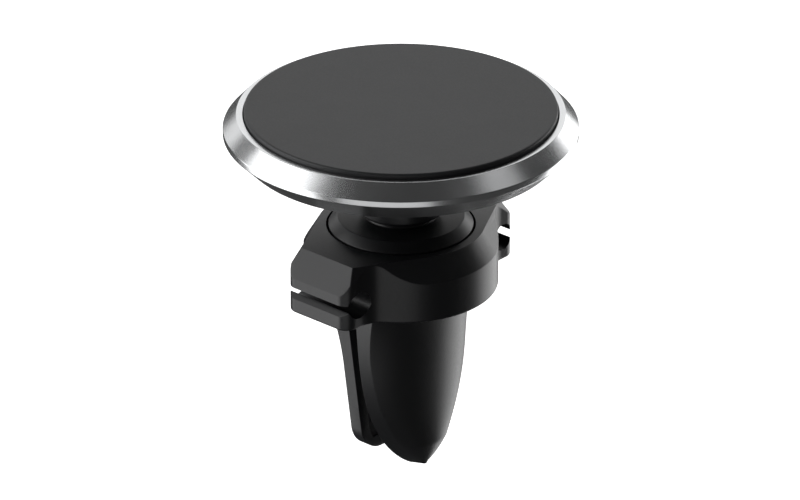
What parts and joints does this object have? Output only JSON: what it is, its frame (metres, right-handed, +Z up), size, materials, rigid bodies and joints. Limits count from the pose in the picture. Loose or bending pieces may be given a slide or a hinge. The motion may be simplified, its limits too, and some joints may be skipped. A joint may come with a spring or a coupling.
{
  "type": "car phone mount",
  "caption": "Magnetic car phone mount: a round metal-rimmed head on a ball joint, over a sprung air vent clip with a cable clip in each side ear.",
  "frame": {"origin": "middle of the body's underside, where the edge of a vent blade comes to rest between the two jaws", "axes": "+Z up through the head's face, X along the vent blade and through the two cable ears, -Y towards the long jaw"},
  "size_m": [0.044, 0.044, 0.0481],
  "materials": {
    "soft_black": "matte soft-touch face",
    "adhesive": "clear double-sided tape",
    "satin_aluminium": "turned, bead blasted and anodised",
    "black_plastic": "satin moulded plastic",
    "core_plastic": "glass-filled moulding",
    "liner_plastic": "natural acetal",
    "nickel": "nickel plate",
    "zinc_steel": "zinc plate",
    "spring_steel": "hardened strip",
    "polished_steel": "ground and polished",
    "jaw_rubber": "satin moulded elastomer",
    "grip_rubber": "ribbed elastomer"
  },
  "bodies": {
    "base": {"ball_socket": "black_plastic", "socket_washer": "zinc_steel", "socket_nut": "zinc_steel", "neck_cap": "black_plastic", "body_shell": "black_plastic", "base_plate": "black_plastic", "body_screws": "zinc_steel", "jaw_pins": "polished_steel", "jaw_springs": "spring_steel"},
    "liner": {"socket_liner": "liner_plastic"},
    "stud": {"ball_stud": "polished_steel"},
    "head": {"face_plate": "soft_black", "face_adhesive": "adhesive", "bezel_ring": "satin_aluminium", "magnet_holder": "black_plastic", "magnets": "nickel", "yoke_plate": "zinc_steel", "spacer_plate": "zinc_steel", "back_cover": "black_plastic", "back_cover_screws": "zinc_steel", "swivel_washer": "spring_steel"},
    "long_jaw": {"long_jaw_core": "core_plastic", "long_jaw_boot": "jaw_rubber", "long_jaw_pad": "grip_rubber"},
    "short_jaw": {"short_jaw_core": "core_plastic", "short_jaw_boot": "jaw_rubber", "short_jaw_pad": "grip_rubber"}
  },
  "joints": [
    {"name": "tilt_x", "type": "hinge", "parent": "base", "child": "liner", "pos_m": [0, 0, 0.0142], "axis": [1, 0, 0], "range_deg": [-15, 15]},
    {"name": "tilt_y", "type": "hinge", "parent": "liner", "child": "stud", "pos_m": [0, 0, 0.0142], "axis": [0, 1, 0], "range_deg": [-15, 15]},
    {"name": "head_spin", "type": "hinge", "parent": "stud", "child": "head", "pos_m": [0, 0, 0.0193], "axis": [0, 0, 1], "continuous": true},
    {"name": "long_jaw_open", "type": "hinge", "parent": "base", "child": "long_jaw", "pos_m": [0, -0.0036, 0.00245], "axis": [-1, 0, 0], "range_deg": [0, 6], "stiffness_Nm_per_rad": 0.6, "springref_deg": -5.73},
    {"name": "short_jaw_open", "type": "hinge", "parent": "base", "child": "short_jaw", "pos_m": [0, 0.0036, 0.00245], "axis": [1, 0, 0], "range_deg": [0, 6], "stiffness_Nm_per_rad": 0.6, "springref_deg": -5.73}
  ]
}
